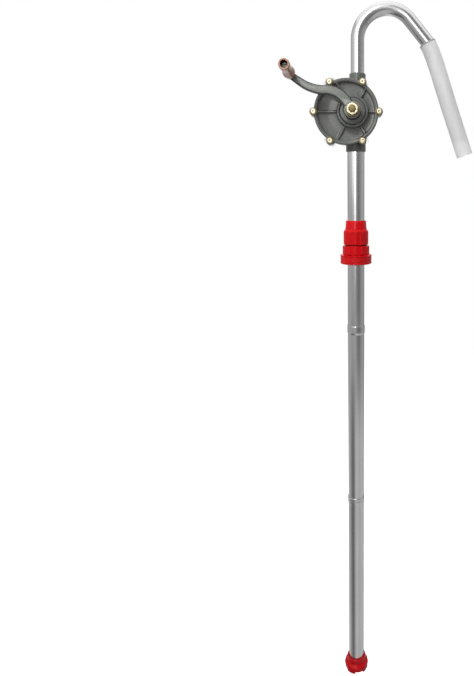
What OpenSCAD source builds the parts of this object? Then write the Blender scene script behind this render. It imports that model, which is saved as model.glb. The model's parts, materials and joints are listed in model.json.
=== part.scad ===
// Hand-cranked rotary vane barrel pump with a bung adaptor, a three-piece suction tube
// and a curved spout. Millimetres, +Z up. The origin is on the suction tube's axis, at the
// underside of the adaptor's lip, where the adaptor seats on a drum. The crank faces -Y.

/* [Suction tube] */
// Outside radius of the suction tube
tube_r = 16; // [14:0.5:16]
// Wall of the suction tube
tube_wall = 1.2; // [0.8:0.1:1.6]
// Height of the upper tube joint
joint_1_z = -137; // [-200:1:-137]
// Height of the lower tube joint
joint_2_z = -496; // [-560:1:-400]
// Height of the foot's top edge
foot_top_z = -866; // [-1000:1:-820]
// Height of the foot, top edge to tips
foot_h = 28; // [27:1:40]
// Radius of the foot's body
foot_r = 24.3; // [23:0.1:28]

/* [Bung adaptor] */
// Outside radius of the adaptor's male thread, G2
bung_r = 29.8; // [29.5:0.1:30]
// Length of the male thread
bung_l = 16; // [12:1:25]
// Height of the gland nut's top
nut_top_z = 66; // [60:1:75]

/* [Pump head] */
// Height of the rotor's axis
head_z = 261; // [259:1:263]
// Sideways place of the chamber's axis
chamber_x = -17; // [-17.5:0.5:-16.5]
// Radius of the chamber
chamber_r = 50; // [49.8:0.1:50.2]
// How far the rotor's axis lies from the chamber's
eccentricity = 11.4; // [11:0.1:12]
// Radius of the cover's disc
cover_r = 58; // [57.5:0.5:59]
// Radius of the rotor's shaft
shaft_r = 6; // [5.5:0.5:6]

/* [Spout] */
// Outside radius of the spout's pipe
spout_r = 12.2; // [11.5:0.1:12.2]
// Wall of the spout's pipe
spout_wall = 1.3; // [1:0.1:2]
// Sideways place of the spout's upright leg
spout_x = 3; // [2:0.5:4]
// Radius of the spout's bend, on the pipe's centreline
spout_bend_r = 52.8; // [50:0.1:56]
// Angle that the spout turns through
spout_bend = 141; // [135:1:145]
// Straight stretch past the bend
spout_end_l = 60; // [58:0.5:61]

/* [Crank] */
// Thickness of the crank arm's casting
arm_t = 8; // [6:0.5:9]
// Length of the turned grip
grip_l = 72; // [65:1:80]

/* [Discharge hose] */
// Outside radius of the hose
hose_r = 14.75; // [14.4:0.05:15]
// Inside radius of the hose
hose_bore_r = 13.4; // [13.2:0.1:13.5]

/* [Hidden] */
$fn = 96;
eps = 0.01;
fit = 0.05;             // radial clearance of a running or seated fit
slide_gap = 0.35;       // radial clearance between the tube and what it slides through

// colours
paint = [0.45, 0.46, 0.43];
steel = [0.78, 0.79, 0.80];
zinc = [0.80, 0.72, 0.45];
red = [0.80, 0.02, 0.05];
bronze = [0.70, 0.50, 0.25];
rubber = [0.08, 0.08, 0.08];
wood = [0.55, 0.27, 0.18];
milk = [0.90, 0.90, 0.90];

// pump head, measured forward (towards the crank) from the tube's axis
rotor_x = chamber_x + eccentricity;
chamber_back = -20;     // rear wall's inner face
joint_face = 20;        // housing's face that the gasket lies on
gasket_t = 0.6;
cover_back = joint_face + gasket_t;
cover_face = 27;        // recessed face of the cover
cover_rim = 30.5;       // front of the cover's rim
boss_front = 39;        // front of the shaft boss
rear_wall = -27;        // rear wall's outer face
rear_boss = -42;        // back of the rear bearing's boss
housing_r = 55.2;
screw_circle_r = 58.4;
screw_r = 3;
screw_tip = 4;          // how far back the screws reach
ear_r = 7.2;
screw_angles = [0:60:300];
ear_front = cover_rim + 0.3;
washer_face = ear_front + 1;
boss_r = 28.2;
bush_r = 9;
seal_r = 11;
seal_back = 31.5;

// rotor and vanes
rotor_r = chamber_r - eccentricity - 0.4;
rotor_back = chamber_back + 0.3;
rotor_front = cover_back - 0.3;
slot_floor_r = 9.2;
vane_t = 6;
vane_angles = [45, 135, 225, 315];
vane_tip_r = rotor_r - 0.1;
vane_back = rotor_back + 0.2;
vane_front = rotor_front - 0.2;
spring_pocket_r = 2;
spring_pocket_top = 23.5;
spring_places = [-11, 11];
pin_r = 2;

// ports
inlet_bottom_z = head_z - 68.5;
inlet_stop_z = inlet_bottom_z + 13;
inlet_socket_r = 18.3;
inlet_passage_r = 12.5;
outlet_top_z = head_z + 70.5;
outlet_stop_z = outlet_top_z - 13;
outlet_socket_r = 15;
outlet_passage_r = 9.5;
spout_seal_z = outlet_top_z - 6;
spout_seal_r = 0.95;

// spout
spout_leg_top = 390;
bend_x = spout_x + spout_bend_r;
bend_end_angle = 180 - spout_bend;
spout_bore_r = spout_r - spout_wall;

// adaptor
lip_h = 1.2;
grip_top_z = 18.5;
neck_top_z = 42;
neck_r = 20;
seal_z = 30;
seal_h = 10;
seal_pocket_r = 18.6;
ring_top_z = 44;
nut_bottom_z = 19.5;
nut_shoulder_z = 46.5;

// crank, forward from the tube's axis
hub_back = 40;
hub_front = 54;
hub_r = 14.5;
arm_back = 42;
arm_ridge = 2.5;
flat_d = 4.6;           // distance of the shaft's flat from its axis
washer_front = hub_front + 2;
nut_front = washer_front + 10;
shaft_front = nut_front + 3.5;
nut_corner_r = 10.7;
arm_line = [[0, 0], [-9.7, 14.3], [-18.8, 24.2], [-29.1, 30.4], [-40.7, 33.5], [-55, 34.1],
            [-67.9, 36.6], [-80.8, 41.5], [-91.1, 47.7], [-100, 53.6], [-107.5, 59.5]];
grip_at = arm_line[len(arm_line) - 1];
grip_back = arm_back + arm_t + arm_ridge + 2.6;
grip_front = grip_back + grip_l;
spindle_r = 4;
grip_well_r = 6;
grip_well_d = 13;

// The hose hangs in the plane Y = 0. Its route, as X and Z.
hose_route = [[129.3, 383.8], [135.2, 372.4], [140.5, 360.3], [145.3, 347.6], [149.9, 334.4],
              [154.5, 321], [159.2, 307.3], [164, 293.4], [168.8, 279.5], [173.7, 265.6],
              [178.7, 251.6], [183.7, 237.6], [188.7, 223.6], [193.7, 209.6], [198.7, 195.6],
              [202.3, 185.6]];
hose_sides = 12;

// --- helpers ---------------------------------------------------------------------------

// Looks at the pump from the front: x stays x, y becomes Z, z points forward.
module front_view(x) {
    translate([x, 0, head_z]) rotate([90, 0, 0]) children();
}

// A disc along the local z axis, from one height to another.
module disc(r, z0, z1) {
    translate([0, 0, z0]) cylinder(r = r, h = z1 - z0);
}

// A disc whose far end has a chamfer.
module chamfered_disc(r, z0, z1, c) {
    disc(r, z0, z1 - c);
    translate([0, 0, z1 - c]) cylinder(r1 = r, r2 = r - c, h = c);
}

module ring(r_out, r_in, z0, z1) {
    difference() {
        disc(r_out, z0, z1);
        disc(r_in, z0 - 1, z1 + 1);
    }
}

// A hexagon prism whose corners are chamfered at both ends.
module hexagon(corner_r, z0, z1) {
    c = 1.1;
    intersection() {
        translate([0, 0, z0]) rotate(30) cylinder(r = corner_r, h = z1 - z0, $fn = 6);
        union() {
            translate([0, 0, z0]) cylinder(r1 = corner_r - c, r2 = corner_r, h = c);
            disc(corner_r, z0 + c, z1 - c);
            translate([0, 0, z1 - c]) cylinder(r1 = corner_r, r2 = corner_r - c, h = c);
        }
    }
}

// --- bung adaptor ----------------------------------------------------------------------

// Upright ribs for the fingers: blocks cut back to a round outline.
module finger_ribs(r, root_r, z0, z1, count, width) {
    intersection() {
        disc(r, z0, z1);
        for (i = [0:count - 1])
            rotate(i * 360 / count)
                translate([root_r, -width / 2, z0]) cube([r - root_r + 1, width, z1 - z0]);
    }
}

module adaptor_body() {
    root_r = 23.8;
    rib_r = 25.3;
    color(red) difference() {
        union() {
            rotate_extrude() polygon([
                [tube_r, -bung_l], [bung_r - 1.2, -bung_l], [bung_r, -bung_l + 1.2],
                [bung_r, 0], [bung_r + 0.4, 0.2], [bung_r + 0.4, lip_h - 0.6],
                [bung_r - 0.4, lip_h], [root_r, lip_h + 0.6], [root_r, grip_top_z],
                [neck_r, grip_top_z], [neck_r, neck_top_z], [tube_r, neck_top_z]
            ]);
            finger_ribs(rib_r, root_r - 1, lip_h - 0.2, grip_top_z - 0.8, 12, 4.5);
        }
        disc(tube_r + slide_gap, -bung_l - 1, neck_top_z + 1);
        disc(seal_pocket_r, seal_z, neck_top_z + 1);
    }
}

module gland_seal() {
    color(rubber) rotate_extrude() polygon([
        [tube_r + fit, seal_z + fit], [seal_pocket_r - fit, seal_z + fit],
        [seal_pocket_r - fit, seal_z + seal_h - 1], [seal_pocket_r - 1, seal_z + seal_h - fit],
        [tube_r + 0.6, seal_z + seal_h - fit], [tube_r + fit, seal_z + seal_h - 0.6]
    ]);
}

module gland_ring() {
    color("dimgray") ring(seal_pocket_r - 0.3, tube_r + slide_gap, seal_z + seal_h, ring_top_z);
}

module gland_nut() {
    root_r = 22.8;
    rib_r = 23.6;
    collar_r = [20.3, 18.9];
    color(red) difference() {
        union() {
            rotate_extrude() polygon([
                [tube_r, nut_bottom_z], [root_r - 1.4, nut_bottom_z], [root_r, nut_bottom_z + 1.4],
                [root_r, nut_shoulder_z], [collar_r[0], nut_shoulder_z + 2.8],
                [collar_r[1], nut_top_z - 1], [collar_r[1] - 1, nut_top_z], [tube_r, nut_top_z]
            ]);
            finger_ribs(rib_r, root_r - 1, nut_bottom_z + 1.6, nut_shoulder_z - 1, 12, 5.5);
        }
        disc(tube_r + slide_gap, nut_bottom_z - 1, nut_top_z + 1);
        disc(neck_r + 0.3, nut_bottom_z - 1, ring_top_z);
    }
}

// --- suction tube ----------------------------------------------------------------------

// The belled upper end of a tube, which the tube above it slides into. It is plain, or two
// rolled beads stiffen it.
module bell(z, beaded) {
    beads = [[tube_r + 1.1, z - 0.8], [tube_r + 1.1, z - 2.2], [tube_r + 0.8, z - 3],
             [tube_r + 0.8, z - 6.5], [tube_r + 1, z - 7.2], [tube_r + 1, z - 8.8],
             [tube_r + 0.8, z - 9.5], [tube_r + 0.8, z - 13]];
    plain = [[tube_r + 1, z - 1], [tube_r + 1, z - 13.5]];
    rotate_extrude() polygon(concat(
        [[tube_r + fit, z], [tube_r + 0.5, z]], beaded ? beads : plain,
        [[tube_r, z - 17], [tube_r - tube_wall, z - 17], [tube_r - tube_wall, z - 15],
         [tube_r + fit, z - 15]]
    ));
}

// A plain tube from z0 up to z1.
module plain_tube(z0, z1) {
    ring(tube_r, tube_r - tube_wall, z0, z1);
}

module suction_tube_upper() {
    color(steel) plain_tube(joint_1_z - 14.9, inlet_stop_z - 0.2);
}

module suction_tube_middle() {
    color(steel) {
        plain_tube(joint_2_z - 14.9, joint_1_z - 17);
        bell(joint_1_z, false);
    }
}

module suction_tube_lower() {
    color(steel) {
        plain_tube(foot_top_z - 13, joint_2_z - 17);
        bell(joint_2_z, true);
    }
}

// A socket on the tube's end, open below, with notches that let liquid in on a flat floor.
module foot_strainer() {
    neck_h = 11;
    bottom = foot_top_z - foot_h;
    notch_h = 4.2;
    color(red) difference() {
        union() {
            rotate_extrude() polygon([
                [tube_r - 2, foot_top_z], [tube_r + 1.4, foot_top_z],
                [tube_r + 3.3, foot_top_z - 1.6], [tube_r + 3.3, foot_top_z - neck_h],
                [foot_r, foot_top_z - neck_h - 4], [foot_r, bottom + 1],
                [foot_r - 1, bottom], [tube_r - 2, bottom]
            ]);
            finger_ribs(foot_r + 0.7, foot_r - 1, bottom + notch_h + 1.8, foot_top_z - neck_h - 5, 8, 6);
        }
        disc(tube_r + fit, foot_top_z - 13.2, foot_top_z + 1);
        disc(tube_r - 1.6, bottom - 1, foot_top_z);
        disc(foot_r - 3.2, bottom - 1, foot_top_z - 16);
        for (a = [15, 105, 195, 285])
            rotate(a) translate([0, 0, bottom - 1]) linear_extrude(notch_h + 1)
                polygon([[0, 0], [60, -24.9], [60, 24.9]]);
    }
}

// --- pump head -------------------------------------------------------------------------

// Six screw ears, in the front view.
module ears(z0, z1) {
    for (a = screw_angles)
        rotate(a) translate([screw_circle_r, 0, 0]) chamfered_disc(ear_r, z0, z1, 0.8);
}

module screw_holes(z0, z1) {
    for (a = screw_angles)
        rotate(a) translate([screw_circle_r, 0, 0]) disc(screw_r + fit, z0, z1);
}

// Radial ribs of a casting, from the shaft's boss outward. They lean in towards their top.
module radial_ribs(foot, height, long) {
    for (a = screw_angles)
        rotate(a) translate([12, 0, foot]) rotate([90, 0, 90]) linear_extrude(long)
            polygon([[-2.8, 0], [2.8, 0], [1.5, height], [-1.5, height]]);
}

module pump_housing() {
    color(paint) difference() {
        union() {
            front_view(chamber_x) {
                disc(housing_r, rear_wall + 2, joint_face);
                translate([0, 0, rear_wall])
                    cylinder(r1 = housing_r - 2, r2 = housing_r, h = 2);
                ears(2, joint_face);
                // rear rim and ribs
                ring(housing_r - 2.6, housing_r - 7, rear_wall - 2.5, rear_wall + 1);
                intersection() {
                    disc(housing_r - 4, rear_wall - 3, rear_wall + 2);
                    translate([eccentricity, 0, 0]) mirror([0, 0, 1])
                        radial_ribs(-rear_wall - 1, 3.2, 80);
                }
            }
            front_view(rotor_x) mirror([0, 0, 1]) {
                chamfered_disc(17, -rear_wall - 1, -rear_boss, 1.5);
                chamfered_disc(23, -rear_wall - 1, -rear_wall + 4, 1.5);
            }
            // inlet and outlet sockets
            translate([0, 0, inlet_bottom_z]) cylinder(r1 = inlet_socket_r - 1, r2 = inlet_socket_r, h = 1);
            disc(inlet_socket_r, inlet_bottom_z + 1, head_z - 30);
            translate([spout_x, 0, 0])
                chamfered_disc(outlet_socket_r, head_z + 30, outlet_top_z, 1.2);
        }
        front_view(chamber_x) {
            disc(chamber_r, chamber_back, joint_face + 5);
            screw_holes(screw_tip - 1, joint_face + 5);
        }
        front_view(rotor_x) disc(bush_r + fit, rear_boss + 3, 0);
        disc(tube_r + fit, inlet_bottom_z - 1, inlet_stop_z);
        disc(inlet_passage_r, inlet_stop_z - 1, head_z - 30);
        translate([spout_x, 0, 0]) {
            disc(spout_r + 0.1, outlet_stop_z, outlet_top_z + 1);
            disc(outlet_passage_r, head_z + 30, outlet_stop_z + 1);
            ring(spout_r + 2 * spout_seal_r + fit + 0.1, spout_r, spout_seal_z - 1, spout_seal_z + 1);
        }
    }
}

module cover_gasket() {
    color("darkslategray") front_view(chamber_x) difference() {
        union() {
            disc(cover_r - 0.8, joint_face, cover_back);
            for (a = screw_angles)
                rotate(a) translate([screw_circle_r, 0, 0]) disc(ear_r - 0.8, joint_face, cover_back);
        }
        disc(chamber_r + 0.3, joint_face - 1, cover_back + 1);
        screw_holes(joint_face - 1, cover_back + 1);
    }
}

module front_cover() {
    color(paint) difference() {
        union() {
            front_view(chamber_x) {
                rotate_extrude() polygon([
                    [0, cover_back], [cover_r, cover_back], [cover_r, cover_rim - 1.2],
                    [cover_r - 1.2, cover_rim], [52.6, cover_rim], [51.2, cover_rim - 0.8],
                    [50.4, cover_face], [0, cover_face]
                ]);
                ears(cover_back, ear_front);
                intersection() {
                    disc(51.8, cover_face - 1, cover_rim);
                    translate([eccentricity, 0, 0]) radial_ribs(cover_face - 0.5, 3.4, 80);
                }
            }
            front_view(rotor_x) rotate_extrude() polygon([
                [0, cover_face - 1], [boss_r + 0.8, cover_face - 1], [boss_r, cover_face + 1.5],
                [boss_r, 32.6], [boss_r - 1.3, 34], [24, 34], [23.2, 33.4], [22.6, 34.6],
                [22.6, boss_front - 1.4], [21.2, boss_front], [0, boss_front]
            ]);
        }
        front_view(rotor_x) {
            disc(bush_r + fit, cover_back - 1, seal_back);
            disc(seal_r + fit, seal_back - eps, boss_front + 1);
        }
        front_view(chamber_x) screw_holes(cover_back - 1, cover_rim + 2);
    }
}

module cover_washers() {
    color(zinc) front_view(chamber_x)
        for (a = screw_angles)
            rotate(a) translate([screw_circle_r, 0, 0])
                ring(6.6, screw_r + fit, ear_front, washer_face);
}

module cover_screws() {
    head_h = 4.2;
    head_r = 5.2;
    socket_d = 2;
    color(zinc) front_view(chamber_x)
        for (a = screw_angles)
            rotate(a) translate([screw_circle_r, 0, 0]) difference() {
                union() {
                    disc(screw_r, screw_tip, washer_face + 1);
                    chamfered_disc(head_r, washer_face, washer_face + head_h, 1.3);
                }
                translate([0, 0, washer_face + head_h - socket_d])
                    cylinder(r = 1.7, h = socket_d + 1, $fn = 6);
            }
}

module front_bush() {
    color(bronze) front_view(rotor_x) ring(bush_r, shaft_r + fit, cover_back + 0.5, seal_back - 0.2);
}

module rear_bush() {
    color(bronze) front_view(rotor_x) ring(bush_r, shaft_r + fit, rear_boss + 3.2, rotor_back - 1);
}

module shaft_seal() {
    color(rubber) front_view(rotor_x) rotate_extrude() polygon([
        [shaft_r + fit, seal_back + 2], [shaft_r + 1.5, seal_back], [seal_r, seal_back],
        [seal_r, boss_front - 1], [shaft_r + 2, boss_front - 1], [shaft_r + fit, boss_front - 3]
    ]);
}

module spout_seal() {
    color(rubber) translate([spout_x, 0, spout_seal_z]) rotate_extrude()
        translate([spout_r + fit + spout_seal_r, 0]) circle(spout_seal_r, $fn = 32);
}

// --- rotor -----------------------------------------------------------------------------

module rotor() {
    color("silver") front_view(rotor_x) difference() {
        disc(rotor_r, rotor_back, rotor_front);
        disc(shaft_r + fit, rotor_back - 1, rotor_front + 1);
        for (a = vane_angles)
            rotate(a) translate([slot_floor_r, -vane_t / 2 - 0.1, rotor_back - 1])
                cube([chamber_r, vane_t + 0.2, rotor_front - rotor_back + 2]);
        // the pin's hole is drilled from the top and stops past the shaft
        rotate([-90, 0, 0]) disc(pin_r + fit, -12.2, rotor_r + 1);
    }
}

module rotor_shaft() {
    color(steel) front_view(rotor_x) difference() {
        union() {
            disc(shaft_r, rear_boss + 4, hub_front);
            chamfered_disc(shaft_r - 0.1, hub_front - 1, shaft_front, 1);
        }
        translate([-shaft_r - 1, flat_d, hub_back - 0.5])
            cube([2 * shaft_r + 2, shaft_r, hub_front - hub_back + 0.5]);
        rotate([-90, 0, 0]) disc(pin_r + fit, -shaft_r - 1, shaft_r + 1);
    }
}

module rotor_pin() {
    color(steel) front_view(rotor_x) rotate([-90, 0, 0]) disc(pin_r, -12, 12);
}

// One vane in its slot, flush with the rotor, with pockets for two springs.
module vane(angle) {
    color("dimgray") front_view(rotor_x) rotate(angle) difference() {
        intersection() {
            disc(vane_tip_r, vane_back, vane_front);
            translate([slot_floor_r + 0.3, -vane_t / 2, vane_back])
                cube([chamber_r, vane_t, vane_front - vane_back]);
        }
        for (y = spring_places)
            translate([0, 0, y]) rotate([0, 90, 0]) disc(spring_pocket_r, 0, spring_pocket_top);
    }
}

module vane_1() { vane(vane_angles[0]); }
module vane_2() { vane(vane_angles[1]); }
module vane_3() { vane(vane_angles[2]); }
module vane_4() { vane(vane_angles[3]); }

// Springs pressed solid, two behind each vane: a sleeve with a groove between its coils.
module vane_springs() {
    turns = 9;
    foot = slot_floor_r + 0.05;
    pitch = (spring_pocket_top - 0.2 - foot) / turns;
    outer = 1.85;
    inner = 1.1;
    coil = [for (i = [0:turns - 1]) for (p = [[outer - 0.25, 0], [outer, 0.3], [outer, 0.7]])
        [p[0], foot + (i + p[1]) * pitch]];
    color(steel) front_view(rotor_x)
        for (a = vane_angles) for (y = spring_places)
            rotate(a) translate([0, 0, y]) rotate([0, 90, 0]) rotate_extrude()
                polygon(concat([[inner, foot]], coil, [[outer - 0.25, foot + turns * pitch],
                                                       [inner, foot + turns * pitch]]));
}

// --- crank -----------------------------------------------------------------------------

// A point on the smooth curve through p[i] and p[i + 1], at t from 0 to 1.
function curve(p, i, t) =
    let (a = p[max(i - 1, 0)], b = p[i], c = p[i + 1], d = p[min(i + 2, len(p) - 1)])
    0.5 * ((2 * b) + (c - a) * t + (2 * a - 5 * b + 4 * c - d) * t * t
           + (3 * b - a - 3 * c + d) * t * t * t);

function unit(v) = v / norm(v);
function left_of(v) = [-v[1], v[0]];

steps = 4;
arm_curve = concat([for (i = [0:len(arm_line) - 2]) for (k = [0:steps - 1])
    curve(arm_line, i, k / steps)], [grip_at]);
function arm_way(i) =
    unit(arm_curve[min(i + 1, len(arm_curve) - 1)] - arm_curve[max(i - 1, 0)]);
// Half the arm's width: it narrows from the hub to the grip.
function arm_half(i) = 9 - 3.2 * pow(i / (len(arm_curve) - 1), 1.3);

// The arm's outline from the hub to the grip, drawn in by a margin on both sides.
module arm_outline(margin) {
    last = len(arm_curve) - 1;
    polygon(concat(
        [for (i = [0:last]) arm_curve[i] + left_of(arm_way(i)) * (arm_half(i) - margin)],
        [for (i = [last:-1:0]) arm_curve[i] - left_of(arm_way(i)) * (arm_half(i) - margin)]
    ));
}

module crank_arm() {
    color(paint) front_view(rotor_x) difference() {
        union() {
            chamfered_disc(hub_r, hub_back, hub_front, 1.2);
            translate([0, 0, arm_back]) linear_extrude(arm_t) arm_outline(0);
            translate([0, 0, arm_back + arm_t - eps]) linear_extrude(arm_ridge + eps)
                arm_outline(2.1);
            translate(grip_at) chamfered_disc(7.6, arm_back - 1, arm_back + arm_t + arm_ridge, 0.8);
        }
        intersection() {
            disc(shaft_r + fit, hub_back - 1, hub_front + 1);
            translate([-shaft_r - 1, -shaft_r - 1, hub_back - 1])
                cube([2 * shaft_r + 2, shaft_r + 1 + flat_d + fit, hub_front - hub_back + 2]);
        }
        translate(grip_at) disc(spindle_r + fit, arm_back - 2, arm_back + arm_t + arm_ridge + 1);
    }
}

module hub_washer() {
    color(zinc) front_view(rotor_x) ring(12, shaft_r + 0.1, hub_front, washer_front);
}

module hub_nut() {
    color(zinc) front_view(rotor_x) difference() {
        hexagon(nut_corner_r, washer_front, nut_front);
        disc(shaft_r, washer_front - 1, nut_front + 1);
    }
}

// A shoulder bolt through the grip. Its head lies in the grip's open end.
module grip_spindle() {
    head = grip_front - grip_well_d + 0.6;
    color(zinc) front_view(rotor_x) translate(grip_at) difference() {
        union() {
            disc(spindle_r, arm_back - 1, head);
            chamfered_disc(5.2, head, head + 4, 1);
        }
        translate([-4, -0.6, head + 2.8]) cube([8, 1.2, 2]);
    }
}

module grip_washer() {
    color("dimgray") front_view(rotor_x) translate(grip_at)
        ring(8.2, spindle_r + 0.1, grip_back - 2.6, grip_back - 0.3);
}

// The grip's radius along its length, at t from 0 at the arm to 1 at its open end.
function grip_r(t) = 9.4 + 1.4 * exp(-pow((t - 0.2) / 0.17, 2)) - 0.6 * exp(-pow((t - 0.62) / 0.2, 2))
    - 2.2 * exp(-pow(t / 0.05, 2)) - 0.8 * exp(-pow((1 - t) / 0.02, 2));

module grip_handle() {
    rings = 24;
    side = [for (i = [0:rings]) let (t = i / rings) [grip_r(t), grip_back + t * grip_l]];
    color(wood) front_view(rotor_x) translate(grip_at) rotate_extrude() polygon(concat(
        [[spindle_r + 0.1, grip_back]], side,
        [[grip_well_r, grip_front], [grip_well_r, grip_front - grip_well_d],
         [spindle_r + 0.1, grip_front - grip_well_d]]
    ));
}

// --- spout and hose --------------------------------------------------------------------

module spout_pipe() {
    end = [bend_x + spout_bend_r * cos(bend_end_angle), 0,
           spout_leg_top + spout_bend_r * sin(bend_end_angle)];
    color(steel) {
        translate([spout_x, 0, 0])
            ring(spout_r, spout_bore_r, outlet_stop_z + 0.3, spout_leg_top);
        translate([bend_x, 0, spout_leg_top]) rotate([90, 0, 0]) rotate(bend_end_angle)
            rotate_extrude(angle = spout_bend) translate([spout_bend_r, 0]) difference() {
                circle(spout_r);
                circle(spout_bore_r);
            }
        translate(end) rotate([0, spout_bend, 0]) ring(spout_r, spout_bore_r, 0, spout_end_l);
    }
}

function hose_way(i) =
    unit(hose_route[min(i + 1, len(hose_route) - 1)] - hose_route[max(i - 1, 0)]);

// One ring of the hose: the points around its centreline at route point i.
function hose_ring(i, r) = let (c = hose_route[i], n = left_of(hose_way(i)))
    [for (k = [0:hose_sides - 1]) let (a = k * 360 / hose_sides)
        [c[0] + r * cos(a) * n[0], r * sin(a), c[1] + r * cos(a) * n[1]]];

// The two triangles between sides k and k + 1 of two rings that start at points a and b.
function quad(a, b, k) = let (j = (k + 1) % hose_sides)
    [[a + k, a + j, b + j], [a + k, b + j, b + k]];

module discharge_hose() {
    count = len(hose_route);
    inner = count * hose_sides;
    last = (count - 1) * hose_sides;
    points = concat([for (i = [0:count - 1]) each hose_ring(i, hose_r)],
                    [for (i = [0:count - 1]) each hose_ring(i, hose_bore_r)]);
    outside = [for (i = [0:count - 2]) for (k = [0:hose_sides - 1])
        each quad(i * hose_sides, (i + 1) * hose_sides, k)];
    inside = [for (i = [0:count - 2]) for (k = [0:hose_sides - 1])
        each quad(inner + (i + 1) * hose_sides, inner + i * hose_sides, k)];
    start = [for (k = [0:hose_sides - 1]) each quad(inner, 0, k)];
    finish = [for (k = [0:hose_sides - 1]) each quad(last, inner + last, k)];
    color(milk) polyhedron(points = points, faces = concat(outside, inside, start, finish));
}

// --- the assembly ----------------------------------------------------------------------

adaptor_body();
gland_seal();
gland_ring();
gland_nut();
suction_tube_upper();
suction_tube_middle();
suction_tube_lower();
foot_strainer();
pump_housing();
cover_gasket();
front_cover();
cover_washers();
cover_screws();
front_bush();
rear_bush();
shaft_seal();
spout_seal();
rotor();
rotor_shaft();
rotor_pin();
vane_springs();
vane_1();
vane_2();
vane_3();
vane_4();
crank_arm();
hub_washer();
hub_nut();
grip_spindle();
grip_washer();
grip_handle();
spout_pipe();
discharge_hose();
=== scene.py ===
"""The looks of a hand-cranked drum pump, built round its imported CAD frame.

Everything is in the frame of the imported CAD. Sizes are given in millimetres and turned
into metres by the helpers. Shapes that turn on a lathe, the bent spout and the hose are
made here; the castings and small hardware are the CAD nodes with their edges rounded.
The lights, the floor and the tent are given in metres.
"""

import json
import math
from functools import lru_cache

import bmesh
import bpy
from mathutils import Matrix, Vector


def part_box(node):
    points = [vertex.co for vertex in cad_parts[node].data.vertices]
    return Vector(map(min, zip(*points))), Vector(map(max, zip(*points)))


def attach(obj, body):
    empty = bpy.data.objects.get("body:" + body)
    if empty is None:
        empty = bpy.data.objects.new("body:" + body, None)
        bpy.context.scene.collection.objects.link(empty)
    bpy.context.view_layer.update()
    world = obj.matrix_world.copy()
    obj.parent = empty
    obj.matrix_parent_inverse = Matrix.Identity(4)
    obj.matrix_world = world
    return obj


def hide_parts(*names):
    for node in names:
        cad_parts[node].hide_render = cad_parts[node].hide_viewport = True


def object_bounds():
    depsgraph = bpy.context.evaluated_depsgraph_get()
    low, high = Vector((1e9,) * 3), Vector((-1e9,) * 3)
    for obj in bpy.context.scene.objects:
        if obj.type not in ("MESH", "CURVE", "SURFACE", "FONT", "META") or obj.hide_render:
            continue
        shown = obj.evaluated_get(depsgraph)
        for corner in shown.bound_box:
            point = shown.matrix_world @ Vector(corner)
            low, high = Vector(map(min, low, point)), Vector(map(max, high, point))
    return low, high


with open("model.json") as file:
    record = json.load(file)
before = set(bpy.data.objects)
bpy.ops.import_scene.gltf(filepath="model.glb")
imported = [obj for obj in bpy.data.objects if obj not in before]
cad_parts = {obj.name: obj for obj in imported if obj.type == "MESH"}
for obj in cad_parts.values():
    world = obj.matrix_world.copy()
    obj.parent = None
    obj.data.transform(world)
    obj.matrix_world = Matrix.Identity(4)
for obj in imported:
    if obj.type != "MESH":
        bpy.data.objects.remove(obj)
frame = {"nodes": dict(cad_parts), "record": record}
cad_low, cad_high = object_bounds()
nodes = frame["nodes"]
slot_of = {part["node"]: part["material_slot"] for part in frame["record"]["subparts"]}
MM = 0.001
TAU = 2 * math.pi


# --- camera ------------------------------------------------------------------------------

def make_camera():
    """Stands a metre in front of the pump, a little below its head, and looks down a bit."""
    data = bpy.data.cameras.new("camera")
    data.sensor_width = 36
    data.lens = 28.06
    data.shift_x = -0.182
    data.shift_y = -0.1006
    data.clip_end = 100
    camera = bpy.data.objects.new("camera", data)
    camera.location = (0.0077, -1.0, 0.124)
    camera.rotation_euler = (math.radians(90 - 8.7), 0, 0)
    bpy.context.scene.collection.objects.link(camera)
    bpy.context.scene.camera = camera


make_camera()


# --- mesh helpers ------------------------------------------------------------------------

def finish_piece(name, mesh, body, paint, replaced, sharp):
    """Makes a mesh a piece that rides on a body and stands for the replaced CAD nodes."""
    mesh.shade_smooth()
    mesh.set_sharp_from_angle(angle=math.radians(sharp))
    mesh.materials.append(paint)
    piece = bpy.data.objects.new(name, mesh)
    bpy.context.scene.collection.objects.link(piece)
    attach(piece, body)
    if replaced:
        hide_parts(*replaced)
    return piece


def add_piece(name, vertices, faces, body, paint, replaced=(), sharp=35):
    """A piece from vertices in metres and faces, whose normals are made to point outwards."""
    mesh = bpy.data.meshes.new(name)
    mesh.from_pydata(vertices, [], faces)
    work = bmesh.new()
    work.from_mesh(mesh)
    bmesh.ops.recalc_face_normals(work, faces=work.faces)
    work.to_mesh(mesh)
    work.free()
    return finish_piece(name, mesh, body, paint, replaced, sharp)


ARC_STEPS = 3


def rounded(points, radius):
    """A closed outline whose corners are rounded, as smooth arcs of a few steps."""
    out = []
    count = len(points)
    for i, point in enumerate(points):
        corner = Vector(point)
        before = Vector(points[i - 1]) - corner
        after = Vector(points[(i + 1) % count]) - corner
        cut = min(radius, before.length * 0.45, after.length * 0.45)
        if cut < 0.02 or before.angle(after) > math.radians(172):
            out.append(tuple(corner))
            continue
        start = corner + before.normalized() * cut
        end = corner + after.normalized() * cut
        for k in range(ARC_STEPS + 1):
            t = k / ARC_STEPS
            spot = start * (1 - t) ** 2 + corner * 2 * t * (1 - t) + end * t ** 2
            out.append(tuple(spot))
    return out


def ring_faces(rings, turns):
    """Faces that join rings of that many points, each to the next and the last to the first."""
    faces = []
    for i in range(rings):
        j = (i + 1) % rings
        for k in range(turns):
            m = (k + 1) % turns
            faces.append((i * turns + k, i * turns + m, j * turns + m, j * turns + k))
    return faces


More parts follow.
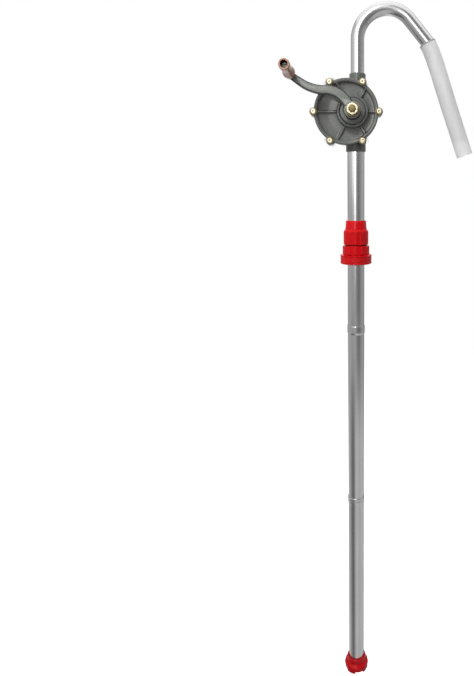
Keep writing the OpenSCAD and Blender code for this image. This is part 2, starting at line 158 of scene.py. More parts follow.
def lathe(name, outline, body, paint, replaced=(), place=None, turns=128, shape=None):
    """Turns a closed outline of (radius, height), in mm, about the z axis of place.

    shape(radius, height, angle) may move a point, and returns its new radius and height.
    """
    place = place or Matrix.Identity(4)
    vertices = []
    for radius, height in outline:
        for k in range(turns):
            angle = TAU * k / turns
            r, z = shape(radius, height, angle) if shape else (radius, height)
            spot = Vector((r * math.cos(angle), r * math.sin(angle), z)) * MM
            vertices.append(place @ spot)
    faces = ring_faces(len(outline), turns)
    return add_piece(name, vertices, faces, body, paint, replaced)


def rounded_copy(name, node, body, paint, width):
    """A CAD node with its edges over 32 degrees rounded by width, in mm. It stands for the node."""
    work = bmesh.new()
    work.from_mesh(nodes[node].data)
    bmesh.ops.remove_doubles(work, verts=work.verts, dist=2e-6)
    bmesh.ops.dissolve_limit(work, angle_limit=math.radians(0.4),
                             verts=work.verts, edges=work.edges)
    limit = math.radians(32)
    edges = [e for e in work.edges if e.is_manifold and e.calc_face_angle() > limit]
    bmesh.ops.bevel(work, geom=edges, offset=width * MM, offset_type="OFFSET",
                    segments=2, profile=0.6, affect="EDGES", clamp_overlap=False)
    bmesh.ops.triangulate(work, faces=[f for f in work.faces if len(f.verts) > 4])
    mesh = bpy.data.meshes.new(name)
    work.to_mesh(mesh)
    work.free()
    return finish_piece(name, mesh, body, paint, (node,), sharp=28)


def sweep_rings(route, radius, turns):
    """Rings of points round a route in metres that lies in the plane y = 0."""
    up = Vector((0, 1, 0))
    rings = []
    count = len(route)
    for i, spot in enumerate(route):
        way = (route[min(i + 1, count - 1)] - route[max(i - 1, 0)]).normalized()
        side = up.cross(way).normalized()
        ring = []
        for k in range(turns):
            angle = TAU * k / turns
            ring.append(spot + (side * math.cos(angle) + up * math.sin(angle)) * radius)
        rings.append(ring)
    return rings


def pipe(name, route, radius, bore, turns, body, paint, replaced):
    """A pipe with a wall along a route in metres. Its radius and bore are radii in mm."""
    rings = sweep_rings(route, radius * MM, turns)
    rings += sweep_rings(route, bore * MM, turns)[::-1]
    vertices = [spot for ring in rings for spot in ring]
    faces = ring_faces(len(rings), turns)
    return add_piece(name, vertices, faces, body, paint, replaced, sharp=50)


# --- materials ---------------------------------------------------------------------------

class Surface:
    """A Principled material whose nodes read the object's own coordinates, in metres."""

    def __init__(self, name, **sockets):
        self.material = bpy.data.materials.new(name)
        self.material.use_nodes = True
        self.tree = self.material.node_tree
        self.shader = self.tree.nodes["Principled BSDF"]
        self.place = self.tree.nodes.new("ShaderNodeTexCoord").outputs["Object"]
        for socket, value in sockets.items():
            self.shader.inputs[socket.replace("_", " ")].default_value = value

    def link(self, a, b):
        """Joins a node's output to a socket."""
        self.tree.links.new(a, b)

    def stretched(self, scale):
        """The coordinates, stretched by a factor along each axis."""
        mapping = self.tree.nodes.new("ShaderNodeMapping")
        mapping.inputs["Scale"].default_value = scale
        self.link(self.place, mapping.inputs["Vector"])
        return mapping.outputs["Vector"]

    def noise(self, scale, detail=3.0, stretch=None):
        """Noise with that many cells to the metre."""
        node = self.tree.nodes.new("ShaderNodeTexNoise")
        node.inputs["Scale"].default_value = scale
        node.inputs["Detail"].default_value = detail
        self.link(self.stretched(stretch) if stretch else self.place, node.inputs["Vector"])
        return node.outputs["Fac"]

    def ramp(self, value, stops):
        """Colours along a value. Each stop is (position, (r, g, b))."""
        node = self.tree.nodes.new("ShaderNodeValToRGB")
        elements = node.color_ramp.elements
        while len(elements) < len(stops):
            elements.new(0.5)
        for element, (position, colour) in zip(elements, stops):
            element.position = position
            element.color = (*colour, 1)
        self.link(value, node.inputs["Fac"])
        return node.outputs["Color"]

    def span(self, value, low, high, start=0.3, end=0.7):
        """A value that runs from low to high while the given one runs from start to end."""
        node = self.tree.nodes.new("ShaderNodeMapRange")
        for socket, number in (("From Min", start), ("From Max", end),
                               ("To Min", low), ("To Max", high)):
            node.inputs[socket].default_value = number
        self.link(value, node.inputs["Value"])
        return node.outputs["Result"]

    def times(self, colour, factor):
        """A colour multiplied by a number or by a node's value."""
        node = self.tree.nodes.new("ShaderNodeVectorMath")
        node.operation = "SCALE"
        self.link(colour, node.inputs[0])
        if isinstance(factor, float):
            node.inputs["Scale"].default_value = factor
        else:
            self.link(factor, node.inputs["Scale"])
        return node.outputs["Vector"]

    def blend(self, share, first, second):
        """One colour passing into another as the share goes from 0 to 1."""
        node = self.tree.nodes.new("ShaderNodeMix")
        node.data_type = "RGBA"
        self.link(share, node.inputs["Factor"])
        for socket, colour in zip([i for i in node.inputs if i.type == "RGBA"], (first, second)):
            self.link(colour, socket)
        return next(o for o in node.outputs if o.type == "RGBA")

    def corners(self, reach, darkest):
        """Painted shade: 1 on open faces, falling to darkest in corners that close in within reach
        metres.
        """
        node = self.tree.nodes.new("ShaderNodeAmbientOcclusion")
        node.inputs["Distance"].default_value = reach
        node.samples = 8
        return self.span(node.outputs["AO"], darkest, 1.0, 0.3, 0.85)

    def axis(self, letter):
        """One of the object's coordinates."""
        node = self.tree.nodes.new("ShaderNodeSeparateXYZ")
        self.link(self.place, node.inputs["Vector"])
        return node.outputs[letter]

    def colour(self, output):
        """Sets the surface's colour."""
        self.link(output, self.shader.inputs["Base Color"])

    def roughness(self, output):
        """Sets how rough the surface is, from 0 for a mirror to 1."""
        self.link(output, self.shader.inputs["Roughness"])

    def bump(self, *heights):
        """Uneven ground. Each height is (value, depth in mm), and they lie one on another."""
        normal = None
        for value, depth in heights:
            node = self.tree.nodes.new("ShaderNodeBump")
            node.inputs["Strength"].default_value = 1.0
            node.inputs["Distance"].default_value = depth * MM
            self.link(value, node.inputs["Height"])
            if normal:
                self.link(normal, node.inputs["Normal"])
            normal = node.outputs["Normal"]
        self.link(normal, self.shader.inputs["Normal"])


def shades(colour, *factors):
    """The colour times each factor, spread over a noise ramp's busy middle."""
    last = len(factors) - 1
    return [(0.3 + 0.4 * i / last, tuple(c * f for c in colour)) for i, f in enumerate(factors)]


def make_paint(name, face=None):
    """Satin grey-green paint over a sand casting, with painted shade in its corners.

    face = (y where the edge ends, y where the face starts): painted light on a raised front face,
    painted shade on the edge behind it.
    """
    s = Surface(name, Specular_IOR_Level=0.3, Coat_Weight=0.5, Coat_Roughness=0.1)
    base = s.ramp(s.noise(38, 6), shades((0.090, 0.094, 0.086), 0.96, 1.0, 1.05))
    # Painted shade: darker in corners and crevices, the tight ones most.
    painted_light_colour = s.times(s.times(base, s.corners(0.0035, 0.1)), s.corners(0.02, 0.75))
    if face:
        # Painted light and shade: lighter on the raised front face, darker on the edge behind it.
        depth = s.axis("Y")
        painted_light_colour = s.times(painted_light_colour, s.span(depth, 0.45, 1.75, *face))
    s.colour(painted_light_colour)
    s.roughness(s.span(s.noise(260, 4), 0.30, 0.42))
    s.bump((s.noise(420, 2), 0.08), (s.noise(1500, 3), 0.03))
    return s.material


def make_plating():
    """Satin plated steel tube, with faint lines along its length."""
    s = Surface("plated_steel", Metallic=1.0)
    s.colour(s.ramp(s.noise(9, 5), shades((0.70, 0.70, 0.70), 0.95, 1.0, 1.03)))
    s.roughness(s.span(s.noise(500, 3, stretch=(1, 1, 0.02)), 0.16, 0.24))
    s.bump((s.noise(700, 2, stretch=(1, 1, 0.01)), 0.004), (s.noise(60, 2), 0.012))
    return s.material


def make_zinc(name, colour, roughness):
    """Yellow zinc on screws, nut, washers and shaft, with painted shade in its crevices."""
    s = Surface(name, Metallic=1.0)
    base = s.ramp(s.noise(90, 3), shades(colour, 0.9, 1.0, 1.06))
    # Painted shade: darker in crevices.
    s.colour(s.times(base, s.corners(0.002, 0.35)))
    s.roughness(s.span(s.noise(900, 3), roughness - 0.06, roughness + 0.06))
    s.bump((s.noise(1600, 2), 0.008))
    return s.material


def make_turned_steel(name, colour):
    """Steel with fine marks across its length, with painted shade in its corners."""
    s = Surface(name, Metallic=1.0)
    # Painted shade: much darker in corners and hollows.
    s.colour(s.times(s.ramp(s.noise(90, 4), shades(colour, 0.85, 1.0, 1.1)), s.corners(0.015, 0.08)))
    s.roughness(s.span(s.noise(1400, 3), 0.3, 0.45))
    s.bump((s.noise(2000, 2), 0.008))
    return s.material


def make_iron():
    """The rotor's bare machined iron."""
    s = Surface("machined_iron", Metallic=1.0)
    s.colour(s.ramp(s.noise(700, 4), shades((0.30, 0.30, 0.30), 0.8, 1.0, 1.15)))
    s.roughness(s.span(s.noise(500, 3), 0.35, 0.5))
    s.bump((s.noise(1500, 2), 0.02))
    return s.material


def make_bronze():
    """Bronze with fine machining grain."""
    s = Surface("bronze", Metallic=1.0)
    s.colour(s.ramp(s.noise(200, 4), shades((0.55, 0.36, 0.16), 0.85, 1.0, 1.1)))
    s.roughness(s.span(s.noise(900, 3), 0.25, 0.4))
    s.bump((s.noise(1500, 2), 0.01))
    return s.material


def make_red_plastic(name, red):
    """Glossy moulded plastic, as bright as its red, with painted shade in its corners."""
    s = Surface(name, Specular_IOR_Level=0.2)
    base = s.ramp(s.noise(28, 4), shades((red, 0.0003, 0.003), 0.92, 1.0, 1.06))
    # Painted shade: darker in corners and creases.
    s.colour(s.times(base, s.corners(0.004, 0.35)))
    s.roughness(s.span(s.noise(300, 4), 0.16, 0.26))
    s.bump((s.noise(110, 2), 0.03), (s.noise(1400, 2), 0.008))
    return s.material


def make_matt(name, colour, roughness, grain):
    """Rubber, dark plastic, fibre and the vanes' composite."""
    s = Surface(name)
    s.colour(s.ramp(s.noise(160, 4), shades(colour, 0.75, 1.0, 1.25)))
    s.roughness(s.span(s.noise(400, 3), roughness - 0.08, roughness + 0.08))
    s.bump((s.noise(grain, 3), 0.03))
    return s.material


def make_wood():
    """Turned wood with a reddish brown varnish, its grain along the grip, with painted shade in its
    corners and its well.
    """
    s = Surface("varnished_wood", Coat_Weight=0.5, Coat_Roughness=0.15, Specular_IOR_Level=0.3)
    grain = s.noise(420, 6, stretch=(1, 0.06, 1))
    base = s.ramp(grain, [(0.28, (0.19, 0.074, 0.032)), (0.45, (0.27, 0.115, 0.052)),
                          (0.6, (0.36, 0.165, 0.08)), (0.75, (0.23, 0.09, 0.042))])
    # Painted shade: darker in corners and down the grip's well.
    s.colour(s.times(base, s.corners(0.012, 0.12)))
    s.roughness(s.span(s.noise(300, 3), 0.32, 0.48))
    s.bump((grain, 0.04), (s.noise(90, 2), 0.04))
    return s.material


def make_hose_plastic(name, tone):
    """Milky, half clear hose. It is a little paler at its free end."""
    s = Surface(name, Transmission_Weight=0.2, IOR=1.45, Specular_IOR_Level=0.3)
    milky = (tone, tone, tone * 1.01)
    streaks = s.ramp(s.noise(60, 4, stretch=(1, 1, 0.12)), shades(milky, 0.93, 1.0, 1.05))
    s.colour(s.times(streaks, s.span(s.axis("Z"), 1.14, 1.0, 0.204, 0.214)))
    s.roughness(s.span(s.noise(160, 3), 0.34, 0.46))
    s.bump((s.noise(70, 2), 0.1), (s.noise(900, 2), 0.01))
    return s.material


materials = {
    "grey_paint": make_paint("grey_paint"),
    "plated_steel": make_plating(),
    "yellow_zinc": make_zinc("yellow_zinc", (0.80, 0.74, 0.54), 0.4),
    "brown_zinc": make_zinc("brown_zinc", (0.27, 0.21, 0.10), 0.5),
    "dull_steel": make_turned_steel("dull_steel", (0.52, 0.52, 0.51)),
    "spring_steel": make_turned_steel("spring_steel", (0.35, 0.35, 0.36)),
    "machined_iron": make_iron(),
    "bronze": make_bronze(),
    "red_plastic": make_red_plastic("red_plastic", 0.50),       # the foot has its own, darker
    "dark_plastic": make_matt("dark_plastic", (0.03, 0.03, 0.03), 0.5, 800),
    "rubber": make_matt("rubber", (0.02, 0.02, 0.02), 0.65, 900),
    "gasket_fibre": make_matt("gasket_fibre", (0.04, 0.045, 0.04), 0.75, 1200),
    "vane_composite": make_matt("vane_composite", (0.09, 0.06, 0.04), 0.55, 700),
    "varnished_wood": make_wood(),
    "milky_hose": make_hose_plastic("milky_hose", 0.70),
}


def paint_cad_nodes():
    """Every CAD node starts with its slot's material, also those that a piece stands for."""
    for node, slot in slot_of.items():
        mesh = nodes[node].data
        mesh.materials.clear()
        mesh.materials.append(materials[slot])


paint_cad_nodes()


# --- discharge hose ----------------------------------------------------------------------

HOSE_ROUTE = [(129.3, 383.8), (135.2, 372.4), (140.5, 360.3), (145.3, 347.6), (149.9, 334.4),
              (154.5, 321), (159.2, 307.3), (164, 293.4), (168.8, 279.5), (173.7, 265.6),
              (178.7, 251.6), (183.7, 237.6), (188.7, 223.6), (193.7, 209.6), (198.7, 195.6),
              (202.3, 185.6)]
HOSE_R = 14.75
HOSE_BORE_R = 13.4


def make_hose_lip(route):
    """The hose's cut edge at the pipe, opened a little by the pipe inside it. Its darker plastic is
    painted shade at the hose's mouth.
    """
    way = (route[1] - route[0]).normalized()
    place = Matrix.Translation(route[0]) @ way.to_track_quat("Z", "Y").to_matrix().to_4x4()
    outline = [(13.45, -0.6), (14.5, -0.9), (15.15, -0.5), (15.2, 0.2), (14.85, 1.6), (14.7, 2.0),
               (13.45, 2.0)]
    # The lip's darker tone is painted shade where the pipe enters the hose.
    lathe("hose_lip", outline, "spout", make_hose_plastic("hose_edge_painted_shade", 0.45), place=place, turns=64)


def make_hose():
    """A thin-walled hose over the spout's end."""
    route = [Vector((x, 0, z)) * MM for x, z in HOSE_ROUTE]
    hose = pipe("hose", route, HOSE_R, HOSE_BORE_R, 64, "spout", materials["milky_hose"],
                ("discharge_hose",))
    make_hose_lip(route)


make_hose()


# --- suction tube ------------------------------------------------------------------------

TUBE_R = 16
TUBE_BORE_R = 14.8
SOCKET_R = 16.1
SOCKET_DEPTH = 15


@lru_cache
def heights(node):
    """A CAD node's lowest and highest z, in mm."""
    low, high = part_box(node)
    return low.z / MM, high.z / MM


def plain_tube(name, node):
    """A straight tube with rounded rims."""
    bottom, top = heights(node)
    outline = [(TUBE_R, bottom), (TUBE_R, top), (TUBE_BORE_R, top), (TUBE_BORE_R, bottom)]
    lathe(name, rounded(outline, 0.4), "pump", materials["plated_steel"], (node,))


def belled_tube(name, node, beaded):
    """A tube whose upper end is belled over the one above it, plain or with two beads."""
    bottom, top = heights(node)
    beads = [(17.0, -0.7), (17.1, -1.5), (17.0, -2.3), (16.8, -3.1), (16.8, -6.3), (16.95, -7.1),
             (17.0, -8), (16.95, -8.9), (16.8, -9.7), (16.8, -12.8)]
    plain = [(16.85, -0.7), (17.0, -1.6), (17.0, -13.2), (16.9, -14)]
    bell = [(SOCKET_R, 0), (16.6, 0), *(beads if beaded else plain), (16.25, -16.2), (16.0, -17.4)]
    outline = [(r, top + z) for r, z in bell]
    outline += [(TUBE_R, bottom), (TUBE_BORE_R, bottom), (TUBE_BORE_R, top - SOCKET_DEPTH),
                (SOCKET_R, top - SOCKET_DEPTH)]
    lathe(name, rounded(outline, 0.5), "pump", materials["plated_steel"], (node,))


plain_tube("upper_tube", "suction_tube_upper")
belled_tube("middle_tube", "suction_tube_middle", False)
belled_tube("lower_tube", "suction_tube_lower", True)


# --- spout -------------------------------------------------------------------------------

SPOUT_R = 12.2
SPOUT_BORE_R = 10.9
SPOUT_X = 3                 # its leg's x
SPOUT_TURN = 141            # degrees
SPOUT_BEND_R = 52.8
SPOUT_LEG_BOTTOM = 318.8
SPOUT_LEG_TOP = 390
SPOUT_END_L = 60


def spout_route():
    """The pipe's centreline: up its leg, round the bend and down its straight end."""
    halfway = (SPOUT_LEG_BOTTOM + SPOUT_LEG_TOP) / 2
    route = [Vector((SPOUT_X, 0, SPOUT_LEG_BOTTOM)), Vector((SPOUT_X, 0, halfway))]
    centre = Vector((SPOUT_X + SPOUT_BEND_R, 0, SPOUT_LEG_TOP))
    steps = 48
    for k in range(steps + 1):
        a = math.radians(180 - SPOUT_TURN * k / steps)
        route.append(centre + Vector((math.cos(a), 0, math.sin(a))) * SPOUT_BEND_R)
    way = (route[-1] - route[-2]).normalized()
    route += [route[-1] + way * SPOUT_END_L / 2, route[-1] + way * SPOUT_END_L]
    return [spot * MM for spot in route]


pipe("spout", spout_route(), SPOUT_R, SPOUT_BORE_R, 96, "spout", materials["plated_steel"],
     ("spout_pipe",))


# --- adaptor, gland nut and foot ---------------------------------------------------------

SLIDE_R = 16.4              # the bore that the suction tube slides in
GRIP_BOTTOM = 1.8
GRIP_TOP = 18.5
ADAPTOR_GRIP_R = 23.8
NECK_R = 20
NECK_TOP = 42
SEAL_POCKET_R = 18.6
SEAL_POCKET_BOTTOM = 30
NUT_GRIP_R = 22.8
NUT_BORE_R = 20.3
NUT_BORE_TOP = 44
NUT_TOP = 66
FOOT_R = 24.3

# Ribs stand from low to high and fade out over run. The foot's are above its bottom.
ADAPTOR_RIBS = {"count": 12, "width": math.radians(11), "height": 1.45,
                "low": 2.4, "high": 17.1, "run": 0.5}
NUT_RIBS = {"count": 12, "width": math.radians(16), "height": 0.75,
            "low": 22.1, "high": 45.1, "run": 0.8}
FOOT_RIBS = {"count": 8, "width": math.radians(14), "height": 0.65,
             "low": 6.8, "high": 11.1, "run": 0.7}


def ribs(angle, z, count, width, height, low, high, run):
    """How far evenly spaced finger ribs of that angular width stand out, with soft flanks."""
    off = abs((angle * count / TAU + 0.5) % 1 - 0.5) * TAU / count
    edge = width * 0.22
    across = max(0.0, min(1.0, (width / 2 - off) / edge + 0.5))
    return height * across * fade(z, low, high, run)


def fade(value, low, high, run):
    """1 between low and high, falling to 0 over a run beyond each."""
    inside = min(value - low, high - value)
    return max(0.0, min(1.0, inside / run + 1))


THREAD_PITCH = 2.309
THREAD_DEPTH = 0.55
THREAD_R = 29.8


def adaptor_shape(r, z, angle):
    """Finger ribs round the grip, and a right-hand thread below the lip."""
    if abs(r - ADAPTOR_GRIP_R) < 0.7 and z > 1.6:
        r += ribs(angle, z, **ADAPTOR_RIBS)
    if r > 28 and z < -0.6:
        turn = (z / THREAD_PITCH - angle / TAU) % 1
        r -= THREAD_DEPTH * (0.5 - 0.5 * math.cos(TAU * turn)) * fade(z, -13.6, -1.2, 0.8)
    return r, z


def make_adaptor():
    """The bung adaptor: thread, lip, ribbed grip and the neck that the nut turns on."""
    thread = [(THREAD_R, -14.8 + 14.2 * k / 56) for k in range(57)]
    grip = [(ADAPTOR_GRIP_R, GRIP_BOTTOM + 16.1 * k / 20) for k in range(21)]
    outline = [(SLIDE_R, -16), (28.4, -16), (28.9, -15.7), *thread, (29.8, -0.2), (30.1, 0.0),
               (30.2, 0.2), (30.2, 0.7), (30.0, 1.0), (29.6, 1.15), (24.6, 1.7), *grip]
    neck = [(ADAPTOR_GRIP_R, GRIP_TOP), (NECK_R, GRIP_TOP), (NECK_R, NECK_TOP),
            (SEAL_POCKET_R, NECK_TOP), (SEAL_POCKET_R, SEAL_POCKET_BOTTOM),
            (SLIDE_R, SEAL_POCKET_BOTTOM)]
    outline += rounded(neck, 0.4)
    lathe("adaptor", outline, "adaptor", materials["red_plastic"], ("adaptor_body",),
          turns=288, shape=adaptor_shape)


def nut_shape(r, z, angle):
    """Broad, low ribs round the nut's grip."""
    if r > NUT_GRIP_R - 0.7:
        r += ribs(angle, z, **NUT_RIBS)
    return r, z


def make_gland_nut():
    """The nut: ribbed grip, shoulder and a tapering collar."""
    side = [(NUT_GRIP_R, 21.1 + 25 * k / 24) for k in range(25)]
    outline = [(20.4, 19.5), (21.3, 19.5), (21.6, 19.6), (22.5, 20.6), (22.7, 20.85)]
    outline += [*side, (NUT_GRIP_R, 46.2), (22.4, 46.9), (20.8, 48.8), (20.4, 49.3), (20.2, 50.1),
                (18.95, 64.8), (18.7, 65.5), (18.1, 65.95), (17.4, NUT_TOP), (16.5, NUT_TOP),
                (SLIDE_R, 65.9), (SLIDE_R, NUT_BORE_TOP), (NUT_BORE_R, NUT_BORE_TOP),
                (NUT_BORE_R, 19.6)]
    lathe("gland_nut_grip", outline, "gland_nut", materials["red_plastic"], ("gland_nut",),
          turns=288, shape=nut_shape)


FOOT_NOTCHES = [math.radians(a) for a in (15, 105, 195, 285)]
FOOT_NOTCH_HALF = math.radians(22.5)
FOOT_NOTCH_FLANK = 0.03     # radians
FOOT_NOTCH_H = 4.2


def foot_shape(r, z, angle):
    """Notches at the lower edge and finger ribs round the body."""
    bottom, _ = heights("foot_strainer")
    lift = 0
    for at in FOOT_NOTCHES:
        off = abs((angle - at + math.pi) % TAU - math.pi)
        lift = max(lift, min(1.0, max(0.0, (FOOT_NOTCH_HALF - off) / FOOT_NOTCH_FLANK)))
    reach = FOOT_NOTCH_H + 0.5
    if z < bottom + reach:
        share = (bottom + reach - z) / reach
        z += lift * FOOT_NOTCH_H * share
    if r > FOOT_R - 0.3:
        r += ribs(angle, z - bottom, **FOOT_RIBS)
    return r, z


def make_foot():
    """The foot: notched skirt with ribs, a shoulder and the ring that holds the tube."""
    bottom, top = heights("foot_strainer")
    side = [(FOOT_R, bottom + 1 + 11.4 * k / 20) for k in range(21)]
    outline = [(21.1, bottom + FOOT_NOTCH_H + 0.6), (21.1, bottom + 0.5), (21.4, bottom),
               (23.4, bottom), (24.0, bottom + 0.3), *side, (24.1, top - 15.0), (23.7, top - 14.6),
               (20.0, top - 11.6), (19.5, top - 11.0)]
    outline += rounded([(19.3, top - 10), (19.3, top - 1.6), (17.4, top), (16.05, top),
                        (16.05, top - 13.2), (14.4, top - 13.2), (14.4, top - 16)], 0.4)[1:]
    outline += [(21.1, top - 16)]
    lathe("foot", outline, "pump", make_red_plastic("foot_plastic", 0.38), ("foot_strainer",),
          turns=288, shape=foot_shape)


make_adaptor()
make_gland_nut()
make_foot()


# --- castings and hardware ---------------------------------------------------------------

ROUNDED_NODES = [  # piece, CAD node, body, material, rounding in mm
    ("pump_casting", "pump_housing", "pump", materials["grey_paint"], 0.6),
    ("cover_casting", "front_cover", "pump", materials["grey_paint"], 0.4),
    # The crank's paint has painted light on its raised front face and painted shade on its edge.
    ("crank_casting", "crank_arm", "rotor", make_paint("crank_paint_lit_face", (-0.0505, -0.0519)), 0.4),
    ("screws", "cover_screws", "pump", materials["yellow_zinc"], 0.25),
    ("nut", "hub_nut", "rotor", materials["yellow_zinc"], 0.2),
    ("washer", "hub_washer", "rotor", materials["brown_zinc"], 0.2),
    ("washers", "cover_washers", "pump", materials["brown_zinc"], 0.15),
    ("shaft", "rotor_shaft", "rotor", materials["brown_zinc"], 0.2),
    ("spindle", "grip_spindle", "rotor", materials["dull_steel"], 0.2),
]

for row in ROUNDED_NODES:
    rounded_copy(*row)


# --- grip --------------------------------------------------------------------------------

HANDLE_R = 9.4
HANDLE_SWELLS = [  # height in mm, place and reach as shares of the length
    (1.4, 0.2, 0.17),
    (-0.6, 0.62, 0.2),
    (-2.2, 0, 0.05),
    (-0.8, 1, 0.02),
]


def handle_radius(share):
    """The grip's radius at a share of its length, in mm."""
    swells = (h * math.exp(-((share - at) / reach) ** 2) for h, at, reach in HANDLE_SWELLS)
    return HANDLE_R + sum(swells)


def make_grip():
    """The turned wooden grip, with a deep well at its open end."""
    low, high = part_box("grip_handle")
    middle = (low + high) / 2
    back, front = -high.y / MM, -low.y / MM
    length = front - back
    side = [(handle_radius(k / 80), back + length * k / 80) for k in range(81)]
    outline = [(4.1, back), *side, (6.4, front), (6.0, front - 0.4), (6.0, front - 12.6),
               (5.6, front - 13), (4.1, front - 13)]
    place = Matrix.Translation((middle.x, 0, middle.z)) @ Matrix.Rotation(math.pi / 2, 4, "X")
    lathe("grip_wood", outline, "grip", materials["varnished_wood"], ("grip_handle",), place, 96)


make_grip()


# --- studio ------------------------------------------------------------------------------

LIGHT_TARGET = Vector((0, 0, 0.2))
LIGHTS = [  # name, place, width, height, power in watts
    ("key", (-0.9, -1.3, 2.3), 0.5, 0.5, 85),
    ("back", (0.7, 2.0, 1.5), 1.0, 1.0, 26),
    ("rim", (1.4, 0.9, 1.0), 0.6, 1.2, 8),
]


def area_light(name, place, width, height, power):
    """A soft light that reflections don't see, turned towards the pump's head."""
    data = bpy.data.lights.new(name, "AREA")
    data.shape = "RECTANGLE"
    data.size, data.size_y = width, height
    data.energy = power
    light = bpy.data.objects.new(name, data)
    light.location = place
    way = LIGHT_TARGET - Vector(place)
    light.rotation_euler = way.to_track_quat("-Z", "Y").to_euler()
    light.visible_glossy = False
    bpy.context.scene.collection.objects.link(light)


def plain_material(name, colour, strength=0.0):
    """A matt material of one colour for the stage, which may glow."""
    s = Surface(name)
    s.shader.inputs["Base Color"].default_value = (*colour, 1)
    s.shader.inputs["Roughness"].default_value = 0.9
    s.shader.inputs["Emission Color"].default_value = (*colour, 1)
    s.shader.inputs["Emission Strength"].default_value = strength
    return s


def square(name, reach, z):
    """A level square mesh that reaches that far from the middle each way, in metres."""
    mesh = bpy.data.meshes.new(name)
    corners = [(-reach, -reach), (reach, -reach), (reach, reach), (-reach, reach)]
    mesh.from_pydata([(x, y, z) for x, y in corners], [], [(0, 1, 2, 3)])
    return mesh


# The pump slides 120 mm down in the adaptor, so the floor lies lower than that.
FLOOR_DROP = 0.125
FLOOR_REACH = 9
FLOOR_FADE = (0.8, 3.0)     # metres from the middle


def make_floor():
    """A pale floor that fades into the pale surround far from the pump."""
    mesh = square("floor", FLOOR_REACH, cad_low.z - FLOOR_DROP)
    s = plain_material("floor", (0.9, 0.9, 0.9), 0.7)
    length = s.tree.nodes.new("ShaderNodeVectorMath")
    length.operation = "LENGTH"
    s.link(s.place, length.inputs[0])
    s.link(s.span(length.outputs["Value"], 1.0, 0.0, *FLOOR_FADE), s.shader.inputs["Alpha"])
    mesh.materials.append(s.material)
    floor = bpy.data.objects.new("floor", mesh)
    floor.visible_glossy = False
    floor.visible_diffuse = False
    bpy.context.scene.collection.objects.link(floor)


TENT_R = 3
TENT_BOTTOM = -6
TENT_TOP = 3
STRIP_BRIGHTNESS = 6.0
# Each stop is (degrees to the right of the front, brightness), from the lowest wall up.
TENT_LOW = [(-180, 0.95), (-166, 0.9), (-152, 0.4), (-128, 0.62), (-80, 0.3), (-60, 0.16),
            (-40, 0.16), (-20, 0.36), (0, 0.6), (20, 0.6), (40, 0.52), (74, 0.54), (110, 0.6),
            (140, 0.4), (168, 0.6), (180, 0.95)]
TENT_DIM = [(-180, 0.8), (-166, 0.75), (-152, 0.25), (-120, 0.46), (-80, 0.44), (-50, 0.4),
            (-20, 0.42), (0, 0.34), (20, 0.2), (45, 0.17), (70, 0.3), (110, 0.42), (140, 0.25),
            (168, 0.4), (180, 0.8)]
TENT_MIDDLE = [(-180, 1.0), (-166, 0.95), (-152, 0.3), (-120, 0.46), (-89, 0.5), (-55, 0.42),
               (-41, 0.5), (-27, 0.7), (-12, 0.55), (0, 0.5), (14, 0.32), (30, 0.2), (43, 0.2),
               (59, 0.3), (74, 0.4), (94, 0.45), (116, 0.5), (140, 0.25), (168, 0.45), (180, 1.0)]
TENT_HIGH = [(-180, 1.3), (-166, 1.2), (-152, 0.3), (-124, 0.5), (-100, 0.62), (-60, 0.72),
             (-48, 1.35), (-4, 1.35), (10, 0.3), (26, 0.2), (55, 0.32), (94, 0.45), (122, 0.62),
             (140, 0.25), (168, 0.45), (180, 1.3)]
# Where one wall passes into the next: (start z, end z, upper wall).
TENT_PASSES = [(-2.2, -1.3, TENT_DIM), (-0.5, -0.1, TENT_MIDDLE), (0.2, 0.7, TENT_HIGH)]


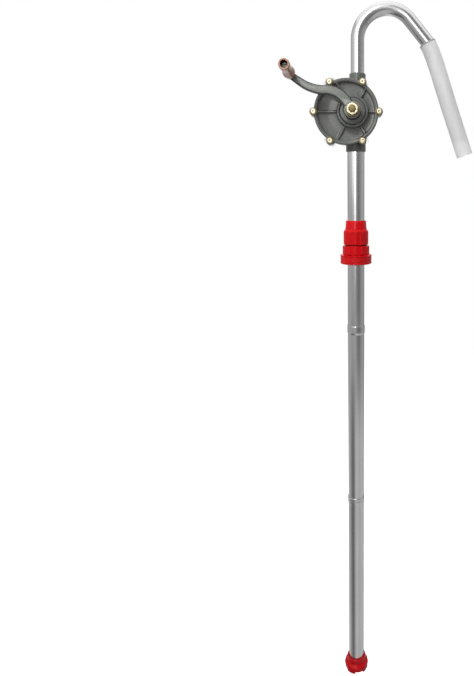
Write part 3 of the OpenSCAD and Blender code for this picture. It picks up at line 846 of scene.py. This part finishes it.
def make_tent():
    """A round wall of light that only reflections see, brighter and darker by direction."""
    steps = 96
    vertices = []
    for k in range(steps):
        a = TAU * k / steps
        x, y = TENT_R * math.cos(a), TENT_R * math.sin(a)
        vertices += [(x, y, TENT_BOTTOM), (x, y, TENT_TOP)]
    faces = [(2 * k, (2 * k + 2) % (2 * steps), (2 * k + 3) % (2 * steps), 2 * k + 1)
             for k in range(steps)]
    mesh = bpy.data.meshes.new("tent")
    mesh.from_pydata(vertices, [], faces)
    s = plain_material("tent", (0, 0, 0))
    turn = s.tree.nodes.new("ShaderNodeMath")
    turn.operation = "ARCTAN2"
    back = s.tree.nodes.new("ShaderNodeMath")
    back.operation = "MULTIPLY"
    back.inputs[1].default_value = -1
    s.link(s.axis("Y"), back.inputs[0])
    s.link(s.axis("X"), turn.inputs[0])
    s.link(back.outputs[0], turn.inputs[1])
    share = s.span(turn.outputs[0], 0.0, 1.0, -math.pi, math.pi)

    def wall(stops):
        """The brightness by direction, as a colour."""
        return s.ramp(share, [((a + 180) / 360, (v,) * 3) for a, v in stops])

    light = wall(TENT_LOW)
    for start, end, stops in TENT_PASSES:
        light = s.blend(s.span(s.axis("Z"), 0.0, 1.0, start, end), light, wall(stops))
    strip = wall([(-17, 0), (-14, 1), (-7, 1), (-4, 0)])
    reach_up = s.ramp(s.span(s.axis("Z"), 0.0, 1.0, -1.0, 1.0),
                      [(0.1, (0,) * 3), (0.3, (0.2,) * 3), (0.65, (0.25,) * 3), (0.95, (1,) * 3)])
    both = s.tree.nodes.new("ShaderNodeVectorMath")
    both.operation = "ADD"
    s.link(light, both.inputs[0])
    s.link(s.times(s.times(strip, reach_up), STRIP_BRIGHTNESS), both.inputs[1])
    s.link(both.outputs["Vector"], s.shader.inputs["Emission Color"])
    s.shader.inputs["Emission Strength"].default_value = 1.0
    s.shader.inputs["Specular IOR Level"].default_value = 0.0
    mesh.materials.append(s.material)
    add_reflection(bpy.data.objects.new("tent", mesh))


def add_reflection(piece):
    """Puts a stage piece where only reflections see it."""
    piece.visible_camera = False
    piece.visible_diffuse = False
    piece.visible_shadow = False
    piece.visible_transmission = False
    bpy.context.scene.collection.objects.link(piece)


def make_ceiling():
    """The tent's pale top."""
    mesh = square("ceiling", TENT_R, TENT_TOP)
    mesh.materials.append(plain_material("ceiling", (1, 1, 1), 0.5).material)
    add_reflection(bpy.data.objects.new("ceiling", mesh))


def make_studio():
    """White surround, dimmer as light than to the camera, with lights, floor and tent."""
    world = bpy.data.worlds.new("studio")
    world.use_nodes = True
    tree = world.node_tree
    path = tree.nodes.new("ShaderNodeLightPath")
    strength = tree.nodes.new("ShaderNodeMapRange")
    strength.inputs["To Min"].default_value = 0.55
    strength.inputs["To Max"].default_value = 1.0
    tree.links.new(path.outputs["Is Camera Ray"], strength.inputs["Value"])
    tree.links.new(strength.outputs["Result"], tree.nodes["Background"].inputs["Strength"])
    tree.nodes["Background"].inputs["Color"].default_value = (1, 1, 1, 1)
    bpy.context.scene.world = world
    bpy.context.scene.view_settings.view_transform = "Standard"
    for row in LIGHTS:
        area_light(*row)
    make_floor()
    make_tent()
    make_ceiling()


make_studio()
